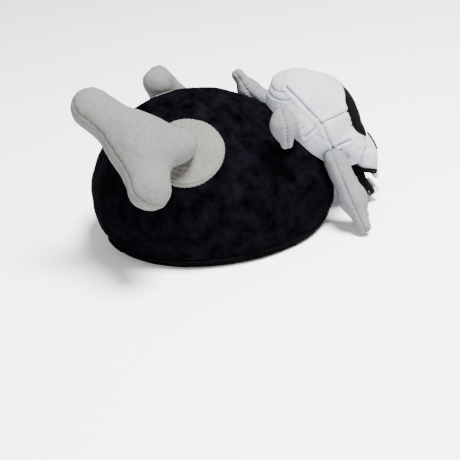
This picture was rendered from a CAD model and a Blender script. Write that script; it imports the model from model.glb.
"""Looks of the padded costume cap: velvet crown, stuffed skull, crossbone ends and the bone through the head.

Sizes are in millimetres until a mesh is made; the frame is the CAD part's own.
"""

import math

import bpy
import numpy as np
from mathutils import Matrix, Vector, noise
from mathutils.bvhtree import BVHTree


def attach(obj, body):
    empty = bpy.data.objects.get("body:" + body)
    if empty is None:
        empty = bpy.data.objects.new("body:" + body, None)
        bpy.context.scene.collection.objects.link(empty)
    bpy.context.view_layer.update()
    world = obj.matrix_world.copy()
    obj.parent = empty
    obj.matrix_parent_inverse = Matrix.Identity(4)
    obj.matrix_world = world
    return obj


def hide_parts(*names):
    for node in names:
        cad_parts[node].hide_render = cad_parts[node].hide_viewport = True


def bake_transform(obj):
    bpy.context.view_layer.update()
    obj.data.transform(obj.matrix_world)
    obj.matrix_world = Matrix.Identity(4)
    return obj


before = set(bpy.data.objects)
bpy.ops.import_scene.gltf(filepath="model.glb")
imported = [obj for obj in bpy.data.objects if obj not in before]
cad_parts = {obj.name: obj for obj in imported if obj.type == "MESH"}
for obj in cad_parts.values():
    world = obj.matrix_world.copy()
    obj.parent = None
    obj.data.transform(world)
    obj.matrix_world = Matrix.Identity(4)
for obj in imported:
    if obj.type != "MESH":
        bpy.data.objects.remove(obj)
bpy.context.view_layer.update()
MM = 0.001

# --- Camera ---
CAMERA_PLACE = (-966.9, 140.0, 458.3)
CAMERA_TURN = 9.0  # degrees that it looks towards the wearer's front, from straight across
CAMERA_DIP = 25.5  # degrees that it looks down
CAMERA_ROLL = 6.3
LENS = 86.09
CLIP_START = 0.05  # metres
CLIP_END = 20.0

# --- Fineness of the meshes ---
MARCH_STEPS = 60  # coarse steps along a ray before the surface is closed in on
BISECTIONS = 18
BAND_COLUMNS = 720
PADDING_COLUMNS = 240
LINING_COLUMNS = 480
HEM_SECTION_POINTS = 56
SWEATBAND_SECTION_POINTS = 60
COLLAR_RINGS = 64
COLLAR_SPOKES = 240
FELT_RINGS = 34
FELT_SPOKES = 140
MOUTH_RINGS = 30
MOUTH_SPOKES = 120
BONE_DETAIL = 7
SKULL_DETAIL = 8
JAW_DETAIL = 7
TOOTH_DETAIL = 5

# --- Stitches: pitch, length and radius of each kind ---
HEM_STITCH = (3.6, 2.4, 0.28)
SWEATBAND_STITCH = (3.4, 2.2, 0.25)
LABEL_STITCH = (2.6, 1.7, 0.2)
COLLAR_STITCH = (3.1, 2.1, 0.3)
BONE_STITCH = (2.4, 1.9, 0.36)
BONE_STITCH_LIFT = 0.12
FELT_STITCH = (1.9, 1.5, 0.3)
THREAD_SIDES = 6
# Rings of a thread: place along it, and share of its radius.
THREAD_RINGS = ((-0.5, 0.35), (-0.3, 0.9), (0.0, 1.0), (0.3, 0.9), (0.5, 0.35))
THREAD_REFERENCE = (0.31, 0.52, 0.79)  # a direction that no thread runs along

# --- Crown ---
HEM_HALF_LENGTH = 105.0
HEM_HALF_WIDTH = 89.0
BULGE_HALF_LENGTH = 115.0
BULGE_HALF_WIDTH = 98.0
BULGE_HEIGHT = 40.0
BULGE_SHIFT = -2.0
BACK_TUCK = 8.0  # how far the elastic pulls the back of the hem in
TUCK_POWER = 1.5
CROWN_HEIGHT = 139.0
CROWN_LEAN = 16.0
CROWN_SQUARENESS = 1.75
FLARE_POWER = 3.0
APEX = BULGE_SHIFT + CROWN_LEAN
GORE_SIDES = ("front_left", "side_left", "back_left", "back_right", "side_right", "front_right")
GORE_TURN = 360.0 / len(GORE_SIDES)
FIRST_SEAM = -90.0
GORE_COLUMNS = 60
WALL_ROWS = 40
DOME_ROWS = 130
VELVET_FOOT = 9.5
GORE_PUFF = 1.5
GORE_FULLNESS = 0.7
SEAM_DEPTH = 0.9
SEAM_WIDTH = 1.4
SEAM_SHARE_AT_TOP = 0.35
FOOT_RISE = 14.0  # height over which the relief of the velvet grows from its foot
TOP_CALM = 40.0  # radius round the top where it fades out
SEAM_PUCKERS = (0.4, 1.6, 4.0)  # height, length and reach
FOOT_WRINKLE_TOP = 12.0
# A layer of lumps has a size, a height and a seed.
CROWN_LUMPS = (38.0, 1.5, 3.1)
CROWN_RIPPLES = (13.0, 0.55, 7.7)
FOOT_WRINKLES = (7.0, 0.5, 1.9)
FOOT_STRETCH = (1, 1, 0.3)  # makes the wrinkles taller than wide

# --- Hem, sweatband and label ---
HEM_HEIGHT = 11.0
HEM_OUTSET = 1.6
HEM_INSET = 6.4
HEM_FOOT = 0.3
HEM_FACE_INSET = 2.2  # the relief of the hem fades out from its face to this inset
TOPSTITCH_HEIGHT = 8.3
BAND_ROWS = ((8.3, -0.55, 0.55), (5.6, -0.4, 0.5), (7.0, 0.35, 0.8))  # height, relief and width
BAND_PUCKERS = (0.35, 168, 1.4)  # height, count round the hem and reach
BAND_LUMPS = (17.0, 0.6, 2.2)
BAND_RIPPLES = (5.0, 0.25, 8.2)
BAND_STRETCH = (1, 1, 0.4)
BAND_SEAM = math.radians(101.0)
BAND_LAP = math.radians(7.0)
LAP_HEIGHT = 1.9
LAP_EDGE = 0.006
LAP_GROOVE = (1.3, 0.02, 0.012)  # depth, place past the lap and width
BAND_WAVES = ((0.5, 5, 1), (0.35, 11, 0))  # height, count and phase of the waves of its top edge
BAND_WAVE_SHARE = 0.4
BAND_WAVE_START = 2.0
PADDING_INSETS = (5.4, 6.4)
PADDING_FOOT = HEM_HEIGHT - 2.0
PADDING_LUMPS = ((20.0, 0.5, 5.5), (20.0, 0.5, 9.1))
LINING_INSET = 7.0
LINING_FOOT = HEM_HEIGHT - 4.0
LINING_SAG = 1.2
LINING_SLACK = 1.0
LINING_RIDGE = 0.5
LINING_LUMPS = (16.0, 0.8, 4.4)
SLACK_START = 24.0  # the lining hangs loose above the sweatband only
SLACK_RISE = 12.0
LINING_LUMPS_TOP = 30.0       # height at which the lumps of the lining are full
SWEATBAND_FACE = 7.6
SWEATBAND_THICKNESS = 1.5
SWEATBAND_LIMITS = (3.0, 27.0)
SWEATBAND_SQUARENESS = 8
KNIT_ROWS = (0.22, 2.6)  # height, and turns of the wave for each millimetre
KNIT_COLUMNS = (0.15, 260)
KNIT_LUMPS = (14.0, 0.35, 6.1)
LABEL_WIDTH = 30.0
LABEL_LIMITS = (6.0, 24.0)
LABEL_THICKNESS = 0.45
LABEL_FOLD = 3.0
LABEL_CURL = 0.9

# --- Collars ---
COLLAR_CENTRE = (64.0, 27.0, 105.0)
COLLAR_NORMAL = (0.75, 0.15, 0.65)
COLLAR_RADIUS = 32.5
COLLAR_THICKNESS = 2.6
COLLAR_SEWN_AT = 0.925  # share of the radius where it is sewn down
COLLAR_EDGE = 0.07
COLLAR_WANDER = ((0.005, 47, 0), (0.004, 83, 1), (0.014, 3, 2))  # share, count and phase
COLLAR_LUMPS = (6.0, 0.3, 2.5)
COLLAR_PILE = (1.6, 0.18, 5.5)

# --- Bones ---
# Each end runs from its sewn root to a junction, and parts there into two lobes.
def bone_end(root, junction, lobes, neck, belly, tip, seam_shift=0.0):
    return dict(
        root=root, junction=junction, lobes=lobes, neck=neck, belly=belly, tip=tip, seam_shift=seam_shift
    )


REAR_BONES = {
    "rear_bone_right": bone_end(
        (-77.0, 45.0, 120.0), (-76.6, 69.5, 124.1), ((-53.3, 103.5, 155.5), (-113.1, 69.5, 97.1)),
        neck=16.0, belly=20.5, tip=18.5, seam_shift=5.5,
    ),
    "rear_bone_left": bone_end(
        (81.0, 30.0, 120.0), (118.0, 12.0, 84.0), ((107.7, 25.0, 125.0), (141.7, 7.7, 48.3)),
        neck=15.0, belly=16.5, tip=9.5, seam_shift=4.0,
    ),
}
CROSSBONES = {
    "crossbone_upper_right": bone_end(
        (-56.0, -72.0, 106.0), (-80.0, -58.0, 121.0), ((-73.0, -58.0, 133.5), (-86.0, -58.0, 106.5)),
        neck=6.5, belly=10.2, tip=5.6,
    ),
    "crossbone_upper_left": bone_end(
        (54.0, -74.0, 102.0), (65.0, -57.5, 109.5), ((67.5, -49.0, 125.5), (78.0, -64.0, 101.0)),
        neck=8.0, belly=9.0, tip=6.0,
    ),
    "crossbone_lower_right": bone_end(
        (-50.0, -113.0, 60.0), (-64.0, -121.5, 31.0), ((-80.0, -126.5, 9.0), (-54.0, -133.0, 8.5)),
        neck=11.0, belly=11.8, tip=6.2,
    ),
    "crossbone_lower_left": bone_end(
        (46.0, -114.0, 58.0), (49.0, -126.0, 31.0), ((63.0, -129.0, 14.0), (38.0, -129.0, 12.0)),
        neck=11.0, belly=11.8, tip=6.2,
    ),
}
BONE_CLEARANCE = 0.4  # between a bone end and the velvet
BONE_LUMPS = (17.0, 0.9)  # size and height; the seed is the bone's own
BONE_RIPPLES = (6.0, 0.35)
BONE_PUCKER = 0.28
SEAM_LIMIT = 2.55  # how far the outline seam runs round the junction, in radians

# --- Skull, in its own frame: X across, Y depth with the face at -Y, Z up ---
SKULL_CENTRE = (0.0, -103.0, 98.0)
SKULL_TILT = 18.0
CRANIUM_HALF = (49.0, 42.0, 45.0)
CRANIUM_CENTRE = (0.0, 2.0, -3.0)
MUZZLE_HALF = (28.0, 18.0, 29.0)
MUZZLE_CENTRE = (0.0, -27.0, -58.0)
MUZZLE_FOLD = 2.0
POLL_HALF = (41.0, 26.0, 34.0)
POLL_CENTRE = (0.0, 7.0, 14.5)
FACE_HALF = (40.0, 26.0, 38.0)
FACE_CENTRE = (0.0, -12.0, -13.0)
CHEEK_HALF = (17.0, 17.0, 22.0)
CHEEK_CENTRE = (25.0, -16.0, -33.0)
SKULL_HEART = (0.0, -8.0, -22.0)
MOUTH_CORNER = (-12.0, -53.0)
UPPER_JAW_TIP = (-35.0, -83.0)
LOWER_JAW_TIP = (-24.5, -102.0)
JAW_HALF_WIDTH = 22.0
JAW_THICKNESS = 8.0
EYE_HALF = (18.0, 25.0)
EYE_CENTRE = (21.0, -11.5)
NOSE_HALF = (10.0, 10.5)
NOSE_HEIGHT = -52.5
WRAP_START = 0.8  # share of a mouth lining that lies flat before it turns round the jaw's sides
MOUTH_WEB = 3.4  # the linings puff towards each other near the mouth corner
MOUTH_WEB_PLACE = 8.0
MOUTH_WEB_SPREAD = 9.0
FELT_THICKNESS = 1.4
FELT_LUMPS = (2.5, 0.12, 3.3)
EYE_SQUARENESS = 2.8
SKULL_REACH = 110
SKULL_LUMPS = (20.0, 1.2, 4.2)
SKULL_RIPPLES = (9.0, 0.5, 6.7)
SKULL_PUCKER = 0.4
SEAM_SHOULDER = (0.6, 3.2, 2.2)  # height, distance from the seam and width
PUCKER_REACH = 2.6
JAW_CURL = (0.0045, 0.0022)  # how much the jaw bends across and along
JAW_SQUARENESS = 2.7
JAW_SEAM = 1.5  # how far below its rim the jaw is sewn
JAW_LUMPS = (10.0, 0.7, 5.1)
LINING_WRINKLES = (7.0, 0.4, 2.8)
ACROSS = np.array([1.0, 0.0, 0.0])
TOOTH_SQUARENESS = 3.0
TOOTH_LUMPS = (3.5, 0.3, 1.1)
TOOTH_CREASE = (0.5, 0.5)  # depth and width of the crease down a tooth

# --- Studio, in metres ---
FLOOR_SIZE = 12.0
FLOOR_COLOUR = (0.95, 0.95, 0.95)
SKY_COLOUR = (0.93, 0.96, 1.0)
SKY_STRENGTH = 0.8
LIGHT_TARGET = (0.0, 0.0, 0.08)
LIGHTS = (("key", (-0.5, -0.4, 1.6), 0.7, 175), ("side", (-1.4, 0.9, 0.9), 1.2, 12))  # place, size, power


# --- Arrays ---
def unit(vector):
    vector = np.asarray(vector, float)
    return vector / np.linalg.norm(vector, axis=-1, keepdims=True)


def bump_noise(points, size, seed):
    """Smooth noise from about -1 to 1 with lumps of the given size."""
    flat = points.reshape(-1, 3) / size + seed
    values = [noise.noise(Vector(p)) for p in flat]
    return np.array(values).reshape(points.shape[:-1])


def turns_round(count):
    return np.linspace(0, 2 * math.pi, count, endpoint=False)


def lumps(points, layer):
    """Lumps of a layer given as its size, height and seed."""
    size, height, seed = layer
    return height * bump_noise(points, size, seed)


def bell(distance, width):
    return np.exp(-((distance / width) ** 2))


def line_distance(points, start, end):
    """Distance of each point from a straight line piece."""
    start, along = np.asarray(start, float), np.subtract(end, start)
    share = np.clip(((points - start) @ along) / (along @ along), 0, 1)
    return np.linalg.norm(points - start - share[..., None] * along, axis=-1)


def folds(points, creases):
    """Sum of soft creases, each (start, end, width, height)."""
    total = np.zeros(points.shape[:-1])
    for start, end, width, height in creases:
        total += height * bell(line_distance(points, start, end), width)
    return total


def soft_union(a, b, blend):
    """Smooth minimum of two fields, rounded over the blend distance."""
    share = np.clip(0.5 + 0.5 * (b - a) / blend, 0, 1)
    return b * (1 - share) + a * share - blend * share * (1 - share)


def soft_cut(a, b, blend):
    return -soft_union(-a, -b, blend)


# --- Meshes ---
def make_mesh(name, points, faces, material):
    mesh = bpy.data.meshes.new(name)
    mesh.from_pydata((np.asarray(points).reshape(-1, 3) * MM).tolist(), [], faces)
    mesh.validate()
    mesh.update()
    mesh.polygons.foreach_set("use_smooth", [True] * len(mesh.polygons))
    obj = bpy.data.objects.new(name, mesh)
    bpy.context.scene.collection.objects.link(obj)
    mesh.materials.append(material)
    return obj


def grid_faces(rows, columns, wrap_rows=False, wrap_columns=False):
    """Faces of a rows x columns grid of points."""
    faces = []
    for i in range(rows if wrap_rows else rows - 1):
        for j in range(columns if wrap_columns else columns - 1):
            below, above = i * columns, (i + 1) % rows * columns
            beside = (j + 1) % columns
            faces.append((below + j, below + beside, above + beside, above + j))
    return faces


def grid_normals(points):
    """Unit normals of a closed ring of columns, outwards for rows that go up and columns that turn left."""
    padded = np.concatenate([points[:, -1:], points, points[:, :1]], axis=1)
    across = np.gradient(padded, axis=1)[:, 1:-1]
    normal = np.cross(across, np.gradient(points, axis=0))
    length = np.linalg.norm(normal, axis=-1, keepdims=True)
    normal = normal / np.maximum(length, 1e-9)
    normal[length[..., 0] < 1e-6] = (0, 0, 1)
    return normal


def sphere_pattern(detail):
    """Directions and faces of an even ball."""
    bpy.ops.mesh.primitive_ico_sphere_add(subdivisions=detail)
    ball = bpy.context.object
    directions = unit([v.co[:] for v in ball.data.vertices])
    faces = [tuple(p.vertices) for p in ball.data.polygons]
    bpy.data.objects.remove(ball)
    return directions, faces


def star_points(field, heart, directions, reach):
    """Points where the field first becomes positive, seen from the heart along each direction."""
    steps = np.linspace(0, reach, MARCH_STEPS)
    near = np.zeros(len(directions))
    far = np.full(len(directions), reach)
    found = np.zeros(len(directions), bool)
    for before, after in zip(steps[:-1], steps[1:]):
        outside = field(heart + directions * after) > 0
        new = outside & ~found
        near[new], far[new] = before, after
        found |= outside
    for _ in range(BISECTIONS):
        middle = (near + far) / 2
        outside = field(heart + directions * middle[:, None]) > 0
        far = np.where(outside, middle, far)
        near = np.where(outside, near, middle)
    return heart + directions * far[:, None]


def field_normals(field, points, step=0.6):
    slope = []
    for axis in np.eye(3):
        slope.append(field(points + axis * step) - field(points - axis * step))
    return unit(np.stack(slope, axis=-1))


def value_at(values, travelled, place):
    return np.array([np.interp(place, travelled, values[:, axis]) for axis in range(3)])


def stitches(name, line, stitch, material, lift=0.0, normals=None):
    """A row of short rounded threads along a line of points; stitch is its pitch, length and radius."""
    pitch, length, radius = stitch
    line = np.asarray(line, float)
    steps = np.linalg.norm(np.diff(line, axis=0), axis=1)
    travelled = np.concatenate([[0], np.cumsum(steps)])
    points, faces = [], []
    for start in np.arange(pitch / 2, travelled[-1] - pitch / 2, pitch):
        centre = value_at(line, travelled, start)
        along = unit(value_at(line, travelled, start + 1) - centre)
        if normals is not None:
            up = value_at(normals, travelled, start)
            up = unit(up - along * (up @ along))
            centre = centre + up * lift
        side = unit(np.cross(along, THREAD_REFERENCE))
        other = np.cross(along, side)
        base = len(points)
        for place, share in THREAD_RINGS:
            for k in range(THREAD_SIDES):
                turn = 2 * math.pi * k / THREAD_SIDES
                spoke = side * math.cos(turn) + other * math.sin(turn)
                points.append(centre + along * length * place + spoke * radius * share)
        tube = grid_faces(len(THREAD_RINGS), THREAD_SIDES, wrap_columns=True)
        faces += [tuple(base + corner for corner in face) for face in tube]
        faces.append(tuple(base + k for k in reversed(range(THREAD_SIDES))))
        faces.append(tuple(base + (len(THREAD_RINGS) - 1) * THREAD_SIDES + k for k in range(THREAD_SIDES)))
    return make_mesh(name, points, faces, material)


def sew_on_cap(name, line, stitch, material):
    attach(stitches(name, line, stitch, material), "cap")


# --- Materials ---
def add_node(nodes, kind, **settings):
    node = nodes.new(kind)
    for name, value in settings.items():
        node.inputs[name].default_value = value
    return node


def cloth(name, dark, light, mottle, pile, pile_depth, roughness=0.9, gloss=0.04):
    """Cloth with soft mottling of the given size and a pile or weave that stands up from it."""
    material = bpy.data.materials.new(name)
    material.use_nodes = True
    nodes, links = material.node_tree.nodes, material.node_tree.links
    shader = nodes["Principled BSDF"]
    shader.inputs["Roughness"].default_value = roughness
    shader.inputs["Specular IOR Level"].default_value = gloss
    place = nodes.new("ShaderNodeTexCoord")
    patches = add_node(nodes, "ShaderNodeTexNoise", Scale=1 / (mottle * MM), Detail=5.0, Roughness=0.6)
    colours = nodes.new("ShaderNodeValToRGB")
    for stop, position, colour in zip(colours.color_ramp.elements, (0.35, 0.68), (dark, light)):
        stop.position = position
        stop.color = (*colour, 1)
    hairs = add_node(nodes, "ShaderNodeTexNoise", Scale=1 / (pile * MM), Detail=3.0, Distortion=1.2)
    raised = add_node(nodes, "ShaderNodeBump", Strength=0.6, Distance=pile_depth * MM)
    links.new(place.outputs["Object"], patches.inputs["Vector"])
    links.new(place.outputs["Object"], hairs.inputs["Vector"])
    links.new(patches.outputs["Fac"], colours.inputs["Fac"])
    links.new(hairs.outputs["Fac"], raised.inputs["Height"])
    links.new(colours.outputs["Color"], shader.inputs["Base Color"])
    links.new(raised.outputs["Normal"], shader.inputs["Normal"])
    return material


# Name, darkest and lightest colour, size of the mottling, size of the pile and its depth.
VELVET = cloth("velvet", (0.0002, 0.0002, 0.0003), (0.0022, 0.0022, 0.0034), 14, 0.5, 0.25, gloss=0.004)
BAND_VELVET = cloth(
    "band_velvet", (0.0003, 0.0003, 0.0004), (0.0018, 0.0018, 0.0022), 9, 0.5, 0.25, gloss=0.008
)
LINING = cloth("lining_satin", (0.005, 0.005, 0.006), (0.010, 0.010, 0.012), 20, 0.35, 0.08, roughness=0.45)
ELASTIC = cloth("elastic", (0.006, 0.006, 0.006), (0.011, 0.011, 0.012), 6, 0.4, 0.15, roughness=0.8)
FOAM = cloth("foam", (0.48, 0.45, 0.36), (0.56, 0.53, 0.44), 10, 0.8, 0.3, roughness=0.95)
RIBBON = cloth("label_ribbon", (0.55, 0.55, 0.54), (0.62, 0.62, 0.61), 5, 0.3, 0.05, roughness=0.5)
FLEECE = cloth("cream_fleece", (0.09, 0.088, 0.084), (0.12, 0.117, 0.112), 2.6, 0.55, 0.3, roughness=0.95)
COLLAR_FLEECE = cloth(
    "collar_fleece", (0.095, 0.091, 0.081), (0.125, 0.12, 0.108), 2.6, 0.55, 0.3, roughness=0.95
)
PLUSH = cloth("white_plush", (0.28, 0.295, 0.32), (0.33, 0.343, 0.367), 16, 0.45, 0.12)
BONE_PLUSH = cloth("bone_plush", (0.10, 0.103, 0.109), (0.13, 0.133, 0.139), 2.6, 0.45, 0.12)
FELT = cloth("black_felt", (0.0005, 0.0005, 0.0006), (0.0016, 0.0016, 0.0019), 3, 0.4, 0.2, roughness=0.95)
TOOTH_FELT = cloth("tooth_felt", (0.40, 0.41, 0.43), (0.47, 0.48, 0.49), 4, 0.4, 0.12)


def thread(name, dark, light, roughness=0.8):
    return cloth(name, dark, light, mottle=2, pile=0.2, pile_depth=0.05, roughness=roughness)


PINK_THREAD = thread("seam_thread", (0.05, 0.028, 0.02), (0.08, 0.048, 0.034))
BROWN_THREAD = thread("edge_thread", (0.07, 0.04, 0.03), (0.13, 0.08, 0.06))
GREY_THREAD = thread("plush_thread", (0.06, 0.06, 0.06), (0.10, 0.10, 0.10))
BLACK_THREAD = thread("black_thread", (0.004, 0.004, 0.005), (0.010, 0.010, 0.012), roughness=0.6)


# --- Crown ---
def crown_ring(height, inset):
    """Half width, half length and middle of the crown at a height."""
    flare = 1 - (1 - np.clip(height / BULGE_HEIGHT, 0, 1)) ** FLARE_POWER
    share = np.clip((height - BULGE_HEIGHT) / (CROWN_HEIGHT - BULGE_HEIGHT - inset), 0, 1)
    narrowing = (1 - share**CROWN_SQUARENESS) ** (1 / CROWN_SQUARENESS)
    half_width = (HEM_HALF_WIDTH + (BULGE_HALF_WIDTH - HEM_HALF_WIDTH) * flare - inset) * narrowing
    half_length = (HEM_HALF_LENGTH + (BULGE_HALF_LENGTH - HEM_HALF_LENGTH) * flare - inset) * narrowing
    tuck = BACK_TUCK * (1 - np.clip(height / BULGE_HEIGHT, 0, 1)) ** TUCK_POWER / 2
    return half_width, half_length - tuck, BULGE_SHIFT * flare + CROWN_LEAN * share - tuck


def crown_field(points, inset=0.0):
    """Negative inside the crown, and roughly a distance near its skin."""
    half_width, half_length, middle = crown_ring(points[..., 2], inset)
    width, length = np.maximum(half_width, 4.0), np.maximum(half_length, 4.0)
    x, y = points[..., 0] / width, (points[..., 1] - middle) / length
    level = (np.hypot(x, y) - 1) * np.minimum(width, length)
    return np.maximum(level * 0.8, points[..., 2] - CROWN_HEIGHT + inset)


def crown_heights(foot, inset):
    """Row heights that stay evenly spaced over the wall and the dome."""
    wall = np.linspace(foot, BULGE_HEIGHT, WALL_ROWS, endpoint=False)
    turn = np.linspace(0, math.pi / 2, DOME_ROWS)
    dome = BULGE_HEIGHT + (CROWN_HEIGHT - BULGE_HEIGHT - inset) * np.sin(turn) ** (2 / CROWN_SQUARENESS)
    return np.concatenate([wall, dome])


def crown_wall(heights, angles, inset):
    """Points on the crown at these heights, on rays that leave the line through the top."""
    half_width, half_length, middle = (a[:, None] for a in crown_ring(heights, inset))
    ex, ey = np.cos(angles)[None], np.sin(angles)[None]
    back = APEX - middle
    safe_width, safe_length = np.maximum(half_width, 1e-6), np.maximum(half_length, 1e-6)
    a = (ex / safe_width) ** 2 + (ey / safe_length) ** 2
    b = 2 * ey * back / safe_length**2
    c = (back / safe_length) ** 2 - 1
    run = (-b + np.sqrt(np.maximum(b * b - 4 * a * c, 0))) / (2 * a)
    x, y = ex * run, APEX + ey * run
    z = np.broadcast_to(heights[:, None], x.shape)
    return np.stack([x, y, z], axis=-1)


def gore_place(points):
    """Distance from the nearest gore seam, and the place between two seams from 0 to 1."""
    x, y = points[..., 0], points[..., 1] - APEX
    phase = ((np.degrees(np.arctan2(y, x)) - FIRST_SEAM) / GORE_TURN) % 1
    off = np.radians(np.minimum(phase, 1 - phase) * GORE_TURN)
    return np.hypot(x, y) * np.sin(off), phase


# Creases of the padded velvet: a valley and a lit ridge behind the skull, and one across the back of the top.
CROWN_CREASES = (
    ((-61, -12, 108), (-36, -73, 94), 8, -2.6),
    ((-70, -24, 95), (-58, -75, 78), 6, 2.2),
    ((-7, 60, 126), (1, 24, 138), 5, -2.0),
    ((-28, 70, 112), (-14, 30, 137), 7, 1.6),
    ((-30, -108, 58), (-42, -104, 20), 9, 1.8),
    ((-92, -20, 60), (-96, 10, 30), 12, -1.2),
    ((-80, 70, 60), (-95, 30, 45), 12, 1.2),
    ((70, 50, 90), (88, 60, 40), 12, -1.2),
    ((30, 100, 60), (-10, 112, 40), 12, 1.4),
)


def crown_relief(points):
    """How far the padded velvet stands out from the plain crown."""
    distance, phase = gore_place(points)
    height = points[..., 2]
    wall = np.clip((height - VELVET_FOOT) / FOOT_RISE, 0, 1)
    radius = np.hypot(points[..., 0], points[..., 1] - APEX)
    spread = np.clip(radius / TOP_CALM, 0, 1)
    depth, length, reach = SEAM_PUCKERS
    near_hem = np.clip(1 - (height - VELVET_FOOT) / FOOT_WRINKLE_TOP, 0, 1)
    relief = GORE_PUFF * wall * spread * np.sin(math.pi * phase) ** GORE_FULLNESS
    relief -= SEAM_DEPTH * bell(distance, SEAM_WIDTH) * (SEAM_SHARE_AT_TOP + (1 - SEAM_SHARE_AT_TOP) * spread)
    relief += depth * np.sin(height / length) * np.exp(-distance / reach) * wall * spread
    relief += folds(points, CROWN_CREASES) * wall
    relief += lumps(points, CROWN_LUMPS) * wall
    relief += lumps(points, CROWN_RIPPLES)
    relief += lumps(points * FOOT_STRETCH, FOOT_WRINKLES) * near_hem
    return relief


def make_crown():
    heights = crown_heights(VELVET_FOOT, 0.0)
    columns = GORE_COLUMNS * len(GORE_SIDES)
    angles = np.radians(FIRST_SEAM) + turns_round(columns)
    points = crown_wall(heights, angles, 0.0)
    points = points + grid_normals(points) * crown_relief(points)[..., None]
    points[-1] = points[-1].mean(axis=0)
    for index, side in enumerate(GORE_SIDES):
        columns = [(index * GORE_COLUMNS + k) % len(angles) for k in range(GORE_COLUMNS + 1)]
        part = points[:, columns]
        faces = grid_faces(len(heights), len(columns))
        gore = make_mesh("gore_" + side, part, faces, VELVET)
        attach(gore, "cap")
        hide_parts("crown_panel_" + side)
    faces = grid_faces(len(heights), len(angles), wrap_columns=True)
    flat = points.reshape(-1, 3)
    return BVHTree.FromPolygons([Vector(p) for p in flat], faces)


def make_padding():
    """Foam under the velvet: a closed layer of the crown between two insets."""
    angles = turns_round(PADDING_COLUMNS)
    layers = []
    for inset, layer_lumps in zip(PADDING_INSETS, PADDING_LUMPS):
        layer = crown_wall(crown_heights(PADDING_FOOT, inset), angles, inset)
        layers.append(layer + grid_normals(layer) * lumps(layer, layer_lumps)[..., None])
    outside, inside = layers
    stack = np.concatenate([inside[::-1], outside])
    faces = grid_faces(len(stack), len(angles), wrap_columns=True)
    padding = make_mesh("padding", stack, faces, FOAM)
    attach(padding, "cap")
    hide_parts("crown_foam")


def make_lining():
    """The lining is cut in gores too, and is a little slack above the sweatband."""
    heights = crown_heights(LINING_FOOT, LINING_INSET)
    angles = np.radians(FIRST_SEAM) + turns_round(LINING_COLUMNS)
    points = crown_wall(heights, angles, LINING_INSET)
    distance, phase = gore_place(points)
    slack = LINING_RIDGE * bell(distance, 1.0) - LINING_SAG * np.sqrt(np.sin(math.pi * phase)) - LINING_SLACK
    slack += lumps(points, LINING_LUMPS) * np.clip(points[..., 2] / LINING_LUMPS_TOP, 0, 1)
    slack *= np.clip((points[..., 2] - SLACK_START) / SLACK_RISE, 0, 1)
    points = points + grid_normals(points) * slack[..., None]
    faces = [tuple(reversed(f)) for f in grid_faces(len(heights), len(angles), wrap_columns=True)]
    lining = make_mesh("lining", points, faces, LINING)
    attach(lining, "cap")
    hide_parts("crown_lining")


def ring_points(section, angles):
    """Points of a band: section is (inset, height) round it, angle by angle."""
    rows = []
    for inset, height in section:
        half_width, half_length, middle = crown_ring(height, 0.0)
        x = np.cos(angles) * (half_width - inset)
        y = middle + np.sin(angles) * (half_length - inset)
        rows.append(np.stack([x, y, np.full(len(angles), height)], axis=-1))
    return np.array(rows)


def band_section(outer, inner, foot, top, count, power=3.5):
    """A rounded upright section between two insets and two heights."""
    turns = turns_round(count)
    section = []
    for turn in turns:
        c, s = math.cos(turn), math.sin(turn)
        across = math.copysign(abs(c) ** (2 / power), c)
        upright = math.copysign(abs(s) ** (2 / power), s)
        inset = (outer + inner) / 2 - (inner - outer) / 2 * across
        height = (foot + top) / 2 + (top - foot) / 2 * upright
        section.append((inset, height))
    return section


def fade(section, start, depth):
    """How much of the relief each point of a band's section takes: none at the start, all past the depth."""
    return np.clip([(inset - start) / depth for inset, _ in section], 0, 1)[:, None]


def make_hem():
    """The folded velvet band with two rows of stitching, lapped over itself at the back."""
    angles = turns_round(BAND_COLUMNS)
    section = band_section(-HEM_OUTSET, HEM_INSET, HEM_FOOT, HEM_HEIGHT, HEM_SECTION_POINTS)
    points = ring_points(section, angles)
    outward = unit(points[0] * (1, 1, 0))[None]
    facing = fade(section, HEM_FACE_INSET, -HEM_OUTSET - HEM_FACE_INSET)
    height = points[..., 2]
    relief = sum(depth * bell(height - place, width) for place, depth, width in BAND_ROWS)
    depth, count, reach = BAND_PUCKERS
    relief = relief + depth * np.sin(angles * count)[None] * bell(height - TOPSTITCH_HEIGHT, reach)
    relief = relief + lumps(points * BAND_STRETCH, BAND_LUMPS) + lumps(points, BAND_RIPPLES)
    away = np.abs((angles - BAND_SEAM + math.pi) % (2 * math.pi) - math.pi)
    lap = 1 / (1 + np.exp((away - BAND_LAP) / LAP_EDGE))
    depth, place, width = LAP_GROOVE
    relief = relief + (LAP_HEIGHT * lap - depth * bell(away - BAND_LAP - place, width))[None]
    points = points + outward * (relief * facing)[..., None]
    wave = sum(size * np.sin(angles * count + phase) for size, count, phase in BAND_WAVES)
    points[..., 2] += np.clip(height - BAND_WAVE_START, 0, 2) * BAND_WAVE_SHARE * wave[None]
    faces = grid_faces(len(section), len(angles), wrap_rows=True, wrap_columns=True)
    hem = make_mesh("hem", points, faces, BAND_VELVET)
    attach(hem, "cap")
    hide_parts("hem_band")
    row = ring_points([(-HEM_OUTSET + 0.25, TOPSTITCH_HEIGHT)], angles)[0]
    sew_on_cap("hem_stitches", row, HEM_STITCH, BLACK_THREAD)


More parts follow.
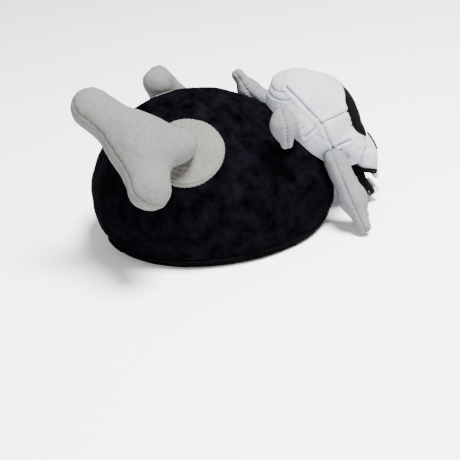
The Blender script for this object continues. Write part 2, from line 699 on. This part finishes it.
def make_sweatband():
    """A ribbed elastic band inside the hem, sewn along its top edge."""
    angles = turns_round(BAND_COLUMNS)
    foot, top = SWEATBAND_LIMITS
    back = SWEATBAND_FACE + SWEATBAND_THICKNESS
    section = band_section(SWEATBAND_FACE, back, foot, top, SWEATBAND_SECTION_POINTS, SWEATBAND_SQUARENESS)
    points = ring_points(section, angles)
    outward = unit(points[0] * (1, 1, 0))[None]
    facing = fade(section, SWEATBAND_FACE, SWEATBAND_THICKNESS)
    row_depth, row_turns = KNIT_ROWS
    column_depth, column_count = KNIT_COLUMNS
    ribs = row_depth * np.sin(points[..., 2] * row_turns) + column_depth * np.sin(angles * column_count)[None]
    ribs = ribs + lumps(points, KNIT_LUMPS)
    points = points + outward * (ribs * facing)[..., None]
    faces = grid_faces(len(section), len(angles), wrap_rows=True, wrap_columns=True)
    band = make_mesh("sweatband_knit", points, faces, ELASTIC)
    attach(band, "cap")
    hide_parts("sweatband")
    row = ring_points([(back + 0.2, top - 2.2)], angles)[0]
    sew_on_cap("sweatband_stitches", row, SWEATBAND_STITCH, BLACK_THREAD)


def make_label():
    """A blank ribbon, folded under at both ends and sewn along its top edge."""
    foot, top = LABEL_LIMITS
    across = np.linspace(-LABEL_WIDTH / 2, LABEL_WIDTH / 2, 70)
    heights = np.linspace(top, foot, 46)
    half_width, half_length, _ = crown_ring(12.0, SWEATBAND_FACE + 2.5)
    x, z = np.meshgrid(across, heights)
    y = half_length * np.sqrt(1 - (x / half_width) ** 2)
    edge = np.minimum(LABEL_WIDTH / 2 - np.abs(x), LABEL_FOLD) / LABEL_FOLD
    y = y - 0.5 * (1 - edge) - LABEL_CURL * ((top - z) / (top - foot)) ** 2 - 0.25 * np.sin(x * 0.5 + z * 0.2)
    front = np.stack([x, y, z], axis=-1)
    behind = front + (0, LABEL_THICKNESS, 0)
    rows, columns = x.shape
    total = rows * columns
    faces = grid_faces(rows, columns)
    faces += [tuple(reversed([v + total for v in f])) for f in faces]
    index = np.arange(total).reshape(rows, columns)
    sides = (index[0, :-1], index[:-1, -1], index[-1, :0:-1], index[:0:-1, 0])
    loop = [int(v) for v in np.concatenate(sides)]
    for a, b in zip(loop, loop[1:] + loop[:1]):
        faces.append((b, a, a + total, b + total))
    points = np.concatenate([front.reshape(-1, 3), behind.reshape(-1, 3)])
    label = make_mesh("label", points, faces, RIBBON)
    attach(label, "cap")
    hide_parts("care_label")
    sew_on_cap("label_stitches", front[3] - (0, 0.15, 0), LABEL_STITCH, BLACK_THREAD)


# --- Patches that follow a surface ---
def patch_points(tree, centre, normal, upright, halves, outline, rings, spokes, profile):
    """Rings of points dropped on a surface along -normal, each raised by profile(ring share, turn)."""
    normal = unit(normal)
    across = unit(np.cross(upright, normal))
    up = np.cross(normal, across)
    rows, skins = [], []
    for share in np.linspace(0, 1, rings):
        row, skin = [], []
        for turn in turns_round(spokes):
            run = share * outline(turn)
            spoke = across * halves[0] * math.cos(turn) + up * halves[1] * math.sin(turn)
            start = np.asarray(centre) + run * spoke
            hit, face_normal, _, _ = tree.ray_cast(Vector(start + normal * 60), Vector(-normal), 140)
            if hit is None:
                hit, face_normal, _, _ = tree.find_nearest(Vector(start))
            face_normal = np.array(face_normal)
            if face_normal @ normal < 0:
                face_normal = -face_normal
            row.append(np.array(hit) + face_normal * profile(share, turn))
            skin.append(face_normal)
        rows.append(row)
        skins.append(skin)
    return np.array(rows), np.array(skins)


def collar_outline(turn):
    """A round fleece patch whose cut edge wanders a little."""
    return 1 + sum(share * math.sin(count * turn + phase) for share, count, phase in COLLAR_WANDER)


def collar_profile(share, turn):
    """Thickness of a collar: thin at its cut edge, with a groove where it is sewn down."""
    body = COLLAR_THICKNESS * (1 - max(0.0, (share - 1 + COLLAR_EDGE) / COLLAR_EDGE) ** 2 * 0.85)
    ring_lines = 0.16 * math.sin(share * 44)
    groove = -0.9 * math.exp(-(((share - COLLAR_SEWN_AT) / 0.016) ** 2))
    wander = 0.25 * math.sin(3 * turn + 4 * share) + 0.3 * math.sin(7 * turn - 9 * share) * share
    return body + ring_lines + groove + wander


def make_collars(tree):
    upright = (0, 0.3, 1)
    halves = (COLLAR_RADIUS, COLLAR_RADIUS)
    size = (COLLAR_RINGS, COLLAR_SPOKES)
    for side, mirror in (("left", 1), ("right", -1)):
        centre = np.array(COLLAR_CENTRE) * (mirror, 1, 1)
        normal = np.array(COLLAR_NORMAL) * (mirror, 1, 1)
        points, skins = patch_points(
            tree, centre, normal, upright, halves, collar_outline, *size, collar_profile
        )
        pile = lumps(points, COLLAR_LUMPS) + lumps(points, COLLAR_PILE)
        points = points + skins * pile[..., None]
        faces = grid_faces(*size, wrap_columns=True)
        collar = make_mesh("collar_" + side, points, faces, COLLAR_FLEECE)
        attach(collar, "cap")
        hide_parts("collar_patch_" + side)
        ring = points[int(COLLAR_SEWN_AT * (COLLAR_RINGS - 1))]
        row = np.concatenate([ring, ring[:1]])
        sew_on_cap("collar_stitches_" + side, row, COLLAR_STITCH, PINK_THREAD)


# --- Bones ---
def capsule(points, start, end, start_radius, end_radius):
    """Distance from a rod whose radius changes along it."""
    start, along = np.asarray(start, float), np.subtract(end, start)
    share = np.clip(((points - start) @ along) / (along @ along), 0, 1)
    radius = start_radius + (end_radius - start_radius) * share
    return np.linalg.norm(points - start - share[..., None] * along, axis=-1) - radius


def bone_frame(bone):
    """Unit vectors of a bone end: along it in the plane of its outline seam, and across that plane."""
    junction = np.array(bone["junction"])
    first, second = (np.array(lobe) - junction for lobe in bone["lobes"])
    across = unit(np.cross(first, second))
    if across @ (junction - (0, 0, 50)) < 0:
        across = -across
    along = junction - np.array(bone["root"])
    return unit(along - across * (along @ across)), across


def bone_field(bone, web, flatness):
    """A rod with two lobes, run into each other over the web and kept out of the crown."""
    belly = bone["belly"]
    junction = np.array(bone["junction"])
    along, across = bone_frame(bone)
    deep_root = np.array(bone["root"]) - along * bone["neck"] * 0.6

    def field(points):
        depth = (points - junction) @ across
        squeezed = points + across * (depth * (1 / flatness - 1))[..., None]
        total = capsule(squeezed, deep_root, junction, bone["neck"], belly)
        for tip in bone["lobes"]:
            total = soft_union(total, capsule(squeezed, junction, tip, belly * 0.95, bone["tip"]), web)
        return soft_cut(total, -crown_field(points, -BONE_CLEARANCE), 2.0)

    return field


def outline_turn(points, bone):
    """Angle of each point round the junction in the seam plane."""
    along, across = bone_frame(bone)
    side = np.cross(across, along)
    off = points - np.array(bone["junction"])
    return np.arctan2(off @ side, off @ along), np.linalg.norm(off, axis=-1)


def lobe_turns(bone):
    """Angles of the two lobes round the junction, the lower one first."""
    turns, _ = outline_turn(np.array(bone["lobes"], float), bone)
    return min(turns), max(turns)


def seam_height(turn, bone):
    """How far the outline seam has crept from the middle plane, between the two lobes."""
    low, high = lobe_turns(bone)
    off = np.abs(turn - (low + high) / 2) / ((high - low) / 2)
    share = np.clip((1.25 - off) / 0.5, 0, 1)
    return bone["seam_shift"] * share * share * (3 - 2 * share)


def bone_relief(points, bone, seam_depth, ridge, pucker_size, seed):
    """How far a stuffed end stands out: its outline seam, the puckers along it, and lumps."""
    _, across = bone_frame(bone)
    turn, radius = outline_turn(points, bone)
    depth = (points - np.array(bone["junction"])) @ across - seam_height(turn, bone)
    travel = turn * np.maximum(radius, 8)
    relief = -seam_depth * bell(depth, 1.1) + ridge * bell(np.abs(depth) - 4.0, 2.2)
    puckers = np.sin(travel * 2 * math.pi / pucker_size + 2 * bump_noise(points, 12, seed))
    relief += BONE_PUCKER * puckers * np.exp(-np.abs(depth) / 3.5)
    relief += lumps(points, (*BONE_LUMPS, seed)) + lumps(points, (*BONE_RIPPLES, seed + 4))
    return relief


def seam_line(field, bone, reach):
    """The outline seam of a bone end, from one side of its root round both lobes to the other."""
    along, across = bone_frame(bone)
    side = np.cross(across, along)
    turns = np.linspace(-SEAM_LIMIT, SEAM_LIMIT, 300)
    flat = np.cos(turns)[:, None] * along + np.sin(turns)[:, None] * side
    junction = np.array(bone["junction"])
    points = star_points(field, junction, flat, reach)
    run = np.linalg.norm(points - junction, axis=-1)
    for _ in range(10):
        lifted = flat * run[:, None] + across * seam_height(turns, bone)[:, None]
        points = star_points(field, junction, unit(lifted), reach)
        run = (run + np.linalg.norm((points - junction) @ np.stack([along, side], axis=1), axis=-1)) / 2
    return points, field_normals(field, points)


def make_bone(name, bone, look, seed):
    """One stuffed end with its seam; look holds what the ends of a kind share."""
    field = bone_field(bone, look["web"], look["flatness"])
    directions, faces = sphere_pattern(BONE_DETAIL)
    junction, root = np.array(bone["junction"]), np.array(bone["root"])
    reach = max(math.dist(junction, p) for p in (*bone["lobes"], root)) + 2.2 * bone["belly"]
    points = star_points(field, junction, directions, reach)
    relief = bone_relief(points, bone, *look["relief"], seed)
    points = points + field_normals(field, points) * relief[..., None]
    cover = make_mesh(name + "_cover", points, faces, look["material"])
    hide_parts(*(f"{name}_{panel}" for panel in (*look["panels"], "stuffing")))
    line, normals = seam_line(field, bone, reach)
    line = line + normals * bone_relief(line, bone, *look["relief"], seed)[:, None]
    sewing = stitches(
        name + "_stitches", line, BONE_STITCH, look["thread"], BONE_STITCH_LIFT, normals
    )
    for piece in (cover, sewing):
        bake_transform(piece)


def make_bones():
    rear = dict(
        panels=("front_panel", "back_panel"), web=21.0, flatness=0.97, relief=(0.6, 0.25, 8.0),
        material=FLEECE, slot="cream_fleece", thread=PINK_THREAD, fill=0.85,
    )
    cross = dict(
        panels=("outer_panel", "inner_panel"), web=7.0, flatness=0.98, relief=(0.8, 0.35, 3.4),
        material=BONE_PLUSH, slot="white_plush", thread=GREY_THREAD, fill=0.75,
    )
    for bones, look, first_seed in ((REAR_BONES, rear, 11.0), (CROSSBONES, cross, 21.0)):
        for index, (name, bone) in enumerate(bones.items()):
            make_bone(name, bone, look, first_seed + index)


# --- Skull ---
TILT = math.radians(SKULL_TILT)
SKULL_AXES = np.array([[1, 0, 0], [0, math.cos(TILT), -math.sin(TILT)], [0, math.sin(TILT), math.cos(TILT)]])


def to_hat(local):
    """Skull frame to the hat's frame."""
    return np.asarray(local, float) @ SKULL_AXES + np.array(SKULL_CENTRE)


def to_skull(points):
    return (points - np.array(SKULL_CENTRE)) @ SKULL_AXES.T


def ellipsoid(points, centre, half):
    off = points - np.array(centre)
    first = np.linalg.norm(off / half, axis=-1)
    second = np.linalg.norm(off / np.square(half), axis=-1)
    return first * (first - 1) / np.maximum(second, 1e-9)


def mouth_axes(tip):
    """Corner of the mouth, the way down to a jaw's tip, and the way backwards, in the skull frame."""
    corner = np.array([0, *MOUTH_CORNER])
    down = unit(np.array([0, *tip]) - corner)
    return corner, down, np.cross((1, 0, 0), down)


def muzzle_field(local):
    corner, _, back = mouth_axes(UPPER_JAW_TIP)
    muzzle = ellipsoid(local, MUZZLE_CENTRE, MUZZLE_HALF)
    return soft_cut(muzzle, (local - corner) @ back, MUZZLE_FOLD)


def rounded_block(points, centre, half, power):
    """A block with rounded edges; its half size runs along the last axis of points."""
    scaled = np.abs((points - np.array(centre)) / half)
    return (np.sum(scaled**power, axis=-1) ** (1 / power) - 1) * min(half)


def head_field(local):
    """Cranium, face, cheeks and muzzle run into each other."""
    total = ellipsoid(local, CRANIUM_CENTRE, CRANIUM_HALF)
    total = soft_union(total, ellipsoid(local, POLL_CENTRE, POLL_HALF), 8)
    total = soft_union(total, rounded_block(local, FACE_CENTRE, FACE_HALF, 3.6), 6)
    mirrored = local * (-1, 1, 1)
    for side in (local, mirrored):
        total = soft_union(total, ellipsoid(side, CHEEK_CENTRE, CHEEK_HALF), 6)
    return soft_union(total, muzzle_field(local), 5)


def skull_field(points):
    return soft_cut(head_field(to_skull(points)), -crown_field(points, -0.4), 2.0)


# Seams of the skull: each is a line of places in the skull frame, sewn the same way on both sides.
BROW_SEAM = ((49, 0.5, 8), (46, -14, 6), (40, -27, 3), (33, -38, 1))
CHEEK_SEAM = (
    (22, 16, 50), (36, 10, 34), (46, 4, 18), (49, 0.5, 8), (48, -0.5, -20), (41, -1, -39), (28, -8, -52)
)
MUZZLE_SEAM = ((30, -14, -52), (29, -26, -50), (19, -42, -46), (8, -46, -42))
BACK_DART = ((49, 21, 3), (51, 10, 6), (49, 2, 9))
CHEEK_DART = ((48, -1, -22), (45, -12, -23), (41, -19, -24))
CHIN_SEAM = ((0, -46, -60), (0, -45, -74), (0, -38, -84))
SKULL_SEAMS = (
    (BROW_SEAM, 2.0, 0.9), (CHEEK_SEAM, 2.0, 0.9), (MUZZLE_SEAM, 1.8, 1.1),
    (BACK_DART, 1.6, 0.9), (CHEEK_DART, 2.2, 1.0), (CHIN_SEAM, 1.2, 0.9),
)
# Wrinkles between the cheek and the face, and where the plush bunches up by the seams.
SKULL_CREASES = (
    ((41, -29, 0), (40, -32, -22), 1.4, -1.5),
    ((38, -34, -6), (35, -37, -30), 1.6, -1.9),
    ((36, -36, -14), (30, -40, -40), 1.6, -1.3),
    ((44, -24, -4), (42, -27, -20), 1.8, -0.9),
    ((40, -31, -8), (38, -34, -30), 1.2, 0.8),
    ((36, -28, -42), (24, -38, -52), 2.4, -1.6),
    ((42, -8, -38), (32, -24, -50), 2.6, -1.6),
    ((48, -1, 13), (45, -10, 15), 1.1, -1.1),
    ((48, 8, -2), (50, 2, -12), 2.2, -0.8),
)


def on_skin(line, pieces=6):
    """A line given near the skull's skin, divided and moved onto it, in the skull frame."""
    line = np.array(line, float)
    dense = [a + (b - a) * k / pieces for a, b in zip(line[:-1], line[1:]) for k in range(pieces)]
    dense = np.array(dense + [line[-1]])
    heart = np.array(SKULL_HEART)
    return star_points(head_field, heart, unit(dense - heart), SKULL_REACH)[::2]


def polyline_distance(points, line):
    pieces = [line_distance(points, a, b) for a, b in zip(line[:-1], line[1:])]
    return np.min(pieces, axis=0)


def skull_relief(points):
    """How far the stuffed plush stands out; it lies calm where the eye patches are sewn on."""
    local = to_skull(points)
    folded = np.abs(local * (1, 0, 0)) + local * (0, 1, 1)
    relief = lumps(local, SKULL_LUMPS) + lumps(local, SKULL_RIPPLES)
    puckers = SKULL_PUCKER * np.sin((local @ (1, 1, 1)) * 1.5 + 3 * bump_noise(local, 9, 1.5))
    off = (folded[..., [0, 2]] - EYE_CENTRE) / EYE_HALF
    from_eye = np.hypot(off[..., 0], off[..., 1])
    calm = np.where(local[..., 1] < 0, np.clip((from_eye - 1.05) / 0.15, 0, 1), 1)
    height, place, spread = SEAM_SHOULDER
    sewn = np.zeros(len(local))
    for line, depth, width in SKULL_SEAMS:
        distance = polyline_distance(folded, on_skin(line))
        sewn += height * bell(distance - place, spread) - depth * bell(distance, width)
        sewn += puckers * np.exp(-distance / PUCKER_REACH)
    for start, end, width, depth in SKULL_CREASES:
        sewn += depth * bell(polyline_distance(folded, on_skin((start, end))), width)
    return relief + sewn * calm


def make_skull():
    directions, faces = sphere_pattern(SKULL_DETAIL)
    points = star_points(skull_field, to_hat(SKULL_HEART), directions, SKULL_REACH)
    normals = field_normals(skull_field, points)
    points = points + normals * skull_relief(points)[:, None]
    skull = make_mesh("skull_plush", points, faces, PLUSH)
    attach(skull, "cap")
    names = ("back_panel", "crown_panel", "cheek_left", "cheek_right", "muzzle_panel", "stuffing")
    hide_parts(*("skull_" + n for n in names))
    return BVHTree.FromPolygons([Vector(p) for p in points], faces)


def felt_profile(share, turn):
    edge = max(0.0, (share - 0.94) / 0.06) ** 2
    return FELT_THICKNESS * (1 - 0.8 * edge) + 0.1 * math.sin(5 * turn + 6 * share)


def eye_outline(turn):
    """A round that is squared off a little, and fuller at the top."""
    power = EYE_SQUARENESS
    squared = (abs(math.cos(turn)) ** power + abs(math.sin(turn)) ** power) ** (1 / power)
    return (1 + 0.09 * math.sin(turn)) / squared


def nose_outline(turn):
    """An upside-down heart: two rounded ends below, narrow above."""
    return 0.88 - 0.20 * math.sin(turn) - 0.10 * math.cos(2 * turn) + 0.04 * math.sin(3 * turn)


def make_face(tree):
    forward = to_hat((0, -1, 0)) - to_hat((0, 0, 0))
    upright = to_hat((0, 0, 1)) - to_hat((0, 0, 0))
    across, height = EYE_CENTRE
    patches = (
        ("eye_left", "eye_patch_left", across, height, EYE_HALF, eye_outline),
        ("eye_right", "eye_patch_right", -across, height, EYE_HALF, eye_outline),
        ("nose", "nose_patch", 0.0, NOSE_HEIGHT, NOSE_HALF, nose_outline),
    )
    for name, node, x, z, halves, outline in patches:
        centre = to_hat((x, -45, z))
        points, skins = patch_points(
            tree, centre, forward, upright, halves, outline, FELT_RINGS, FELT_SPOKES, felt_profile
        )
        points = points + skins * lumps(points, FELT_LUMPS)[..., None]
        faces = grid_faces(FELT_RINGS, FELT_SPOKES, wrap_columns=True)
        felt = make_mesh(name + "_felt", points, faces, FELT)
        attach(felt, "cap")
        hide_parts(node)
        share = np.mean([outline(turn) ** 2 for turn in np.linspace(0, 2 * math.pi, 60)])
        row = np.concatenate([points[-1], points[-1][:1]])
        sew_on_cap(name + "_stitches", row, FELT_STITCH, BROWN_THREAD)


# --- Mouth ---
def lining_sheet(name, origin, down, back, reach_of, node, hollow, wrap):
    """A black lining on a jaw's mouth side, that wraps round the jaw's sides for a while."""
    rows = []
    for share in np.linspace(0, 1, MOUTH_RINGS):
        row = []
        beyond = max(0.0, (share - WRAP_START) / (1 - WRAP_START))
        inner = min(share / WRAP_START, 1.0)
        for turn in turns_round(MOUTH_SPOKES):
            way = ACROSS * math.cos(turn) + down * math.sin(turn)
            drop = wrap * beyond * abs(math.cos(turn)) ** 0.5 + 1.2 * beyond
            spot = way * inner * reach_of(way, drop)
            web = MOUTH_WEB * bell(spot @ down + MOUTH_WEB_PLACE, MOUTH_WEB_SPREAD)
            row.append(origin + spot + back * (hollow * (1 - inner**2) - drop + web))
        rows.append(row)
    points = np.array(rows)
    points = points + back * lumps(points, LINING_WRINKLES)[..., None]
    faces = grid_faces(MOUTH_RINGS, MOUTH_SPOKES, wrap_columns=True)
    lining = make_mesh(name, points, faces, FELT)
    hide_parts(node)
    return lining


def edge_reach(field, origin, way):
    """Distance from the origin to the edge of a field along a way."""
    hit = star_points(field, origin, np.array([way]), 60)
    return float(np.linalg.norm(hit[0] - origin))


def make_upper_mouth():
    corner, down, back = mouth_axes(UPPER_JAW_TIP)
    origin = corner + down * 19 + back * 0.2

    def muzzle(points):
        return ellipsoid(points, MUZZLE_CENTRE, MUZZLE_HALF)

    def reach_of(way, drop):
        return edge_reach(muzzle, origin - back * drop, way) + (1.3 if drop > 0 else 0.4)

    lining = lining_sheet("upper_lining", origin, down, back, reach_of, "upper_mouth_lining", -0.6, 4.5)
    move_to_hat(lining)
    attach(lining, "cap")


def move_to_hat(obj):
    """Takes a mesh that was made in the skull frame to its place."""
    turn = Matrix(SKULL_AXES.T.tolist()).to_4x4()
    obj.data.transform(Matrix.Translation(Vector(SKULL_CENTRE) * MM) @ turn)


def tooth_shape(half):
    """A stuffed tooth, as a ball of points, and its faces."""
    directions, faces = sphere_pattern(TOOTH_DETAIL)
    middle = np.zeros(3)
    points = star_points(lambda p: rounded_block(p, middle, half, TOOTH_SQUARENESS), middle, directions, 12)
    return points, faces


def make_teeth(name, count, pitch, half, place, axes, node, body):
    """A row of stuffed teeth; axes are across, along each tooth, and outwards."""
    plain_tooth, pattern = tooth_shape(half)
    basis = np.array(axes)
    depth, width = TOOTH_CREASE
    points, faces = [], []
    for index in range(count):
        centre = np.asarray(place) + basis[0] * (index - (count - 1) / 2) * pitch
        relief = lumps(plain_tooth + index * 9, TOOTH_LUMPS)
        shape = plain_tooth + unit(plain_tooth) * relief[:, None]
        shape[:, 2] -= depth * bell(shape[:, 0], width) * (shape[:, 2] > 0)
        faces += [tuple(v + len(points) for v in f) for f in pattern]
        points += list(centre + shape @ basis)
    teeth = make_mesh(name, points, faces, TOOTH_FELT)
    move_to_hat(teeth)
    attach(teeth, body)
    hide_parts(node)


def make_jaw():
    """The hanging jaw: a padded scoop that curls up at its tip."""
    corner, down, back = mouth_axes(LOWER_JAW_TIP)
    length = float(np.linalg.norm(np.array([0, *LOWER_JAW_TIP]) - corner))
    middle = corner + down * length * 0.5 + back * JAW_THICKNESS * 0.5
    half = np.array([JAW_HALF_WIDTH + 1, length * 0.5 + 3.0, JAW_THICKNESS * 0.58])
    bend_across, bend_along = JAW_CURL

    def slab(local):
        off = local - middle
        x, along, depth = off[..., 0], off @ down, off @ back
        depth = depth + bend_across * x**2 + bend_along * np.clip(along, 0, 60) ** 2
        narrow = 1 - 0.10 * np.clip(along / half[1], 0, 1) ** 2
        straight = np.stack([x / narrow, along, depth], axis=-1)
        return rounded_block(straight, (0, 0, 0), half, JAW_SQUARENESS)

    directions, faces = sphere_pattern(JAW_DETAIL)
    points = star_points(slab, middle, directions, 60)
    off = points - middle
    below_seam = off @ back + bend_across * off[:, 0] ** 2 + JAW_SEAM
    relief = lumps(points, JAW_LUMPS) - 1.1 * bell(below_seam, 0.9)
    relief += 0.3 * np.sin((off @ down + off[:, 0]) * 1.7) * np.exp(-np.abs(below_seam) / 3)
    points = points + field_normals(slab, points, 0.4) * relief[:, None]
    shell = make_mesh("jaw_shell", points, faces, PLUSH)
    move_to_hat(shell)
    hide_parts("lower_jaw_shell")
    return shell, slab, middle, length


def make_lower_mouth():
    """The jaw with its lining and teeth."""
    shell, slab, middle, length = make_jaw()
    corner, down, back = mouth_axes(LOWER_JAW_TIP)
    bend_across, bend_along = JAW_CURL

    def reach_of(way, drop):
        return edge_reach(slab, middle, way) - 0.3 + 2.3 * min(drop / 2.0, 1.0) * abs(way @ ACROSS)

    origin = middle - back * (JAW_THICKNESS * 0.5 + 1.0)
    lining = lining_sheet("lower_lining", origin, down, -back, reach_of, "lower_mouth_lining", 0.4, 8.5)
    for vertex in lining.data.vertices:
        off = np.array(vertex.co) / MM - middle
        bend = bend_across * off[0] ** 2 + bend_along * max(0.0, off @ down) ** 2
        vertex.co = vertex.co - Vector(back) * bend * MM
    move_to_hat(lining)
    for piece in (shell, lining):
        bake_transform(piece)
    tip = middle + down * (length * 0.5 - 2.0) - back * 7.0
    make_teeth("teeth_lower", 4, 7.6, (3.9, 5.0, 2.8), tip, (ACROSS, -back, down), "lower_teeth", "lower_jaw")


def make_mouth():
    make_upper_mouth()
    axes = (ACROSS, (0, 0.18, -0.98), (0, -0.98, -0.18))
    make_teeth("teeth_upper", 4, 7.4, (3.8, 6.2, 3.0), (0.0, -34.5, -82.0), axes, "upper_teeth", "cap")
    make_lower_mouth()


# --- Studio ---
def plain(name, colour):
    material = bpy.data.materials.new(name)
    material.use_nodes = True
    shader = material.node_tree.nodes["Principled BSDF"]
    shader.inputs["Base Color"].default_value = (*colour, 1)
    shader.inputs["Roughness"].default_value = 0.9
    return material


def area_light(name, place, size, power):
    data = bpy.data.lights.new(name, "AREA")
    data.shape = "DISK"
    data.size = size
    data.energy = power
    lamp = bpy.data.objects.new(name, data)
    lamp.location = place
    lamp.rotation_mode = "QUATERNION"
    lamp.rotation_quaternion = (Vector(LIGHT_TARGET) - Vector(place)).to_track_quat("-Z", "Y")
    bpy.context.scene.collection.objects.link(lamp)


def make_studio():
    bpy.ops.mesh.primitive_plane_add(size=FLOOR_SIZE, location=(0, 0, 0))
    floor = bpy.context.object
    floor.name = "floor"
    floor.data.materials.append(plain("pale_floor", FLOOR_COLOUR))
    world = bpy.data.worlds.new("studio")
    world.use_nodes = True
    background = world.node_tree.nodes["Background"]
    background.inputs["Color"].default_value = (*SKY_COLOUR, 1)
    background.inputs["Strength"].default_value = SKY_STRENGTH
    bpy.context.scene.world = world
    for name, place, size, power in LIGHTS:
        area_light(name, place, size, power)


def make_camera():
    turn, dip, roll = (math.radians(a) for a in (CAMERA_TURN, CAMERA_DIP, CAMERA_ROLL))
    forward = Vector((math.cos(dip) * math.cos(turn), -math.cos(dip) * math.sin(turn), -math.sin(dip)))
    level = forward.cross(Vector((0, 0, 1))).normalized()
    above = level.cross(forward)
    right = level * math.cos(roll) - above * math.sin(roll)
    up = right.cross(forward)
    data = bpy.data.cameras.new("camera")
    data.lens = LENS
    data.clip_start = CLIP_START
    data.clip_end = CLIP_END
    camera = bpy.data.objects.new("camera", data)
    axes = Matrix((right, up, -forward)).transposed().to_4x4()
    camera.matrix_world = Matrix.Translation(Vector(CAMERA_PLACE) * MM) @ axes
    bpy.context.scene.collection.objects.link(camera)
    bpy.context.scene.camera = camera


crown_tree = make_crown()
make_padding()
make_lining()
make_hem()
make_sweatband()
make_label()
make_collars(crown_tree)
make_bones()
skull_tree = make_skull()
make_face(skull_tree)
make_mouth()
make_studio()
make_camera()
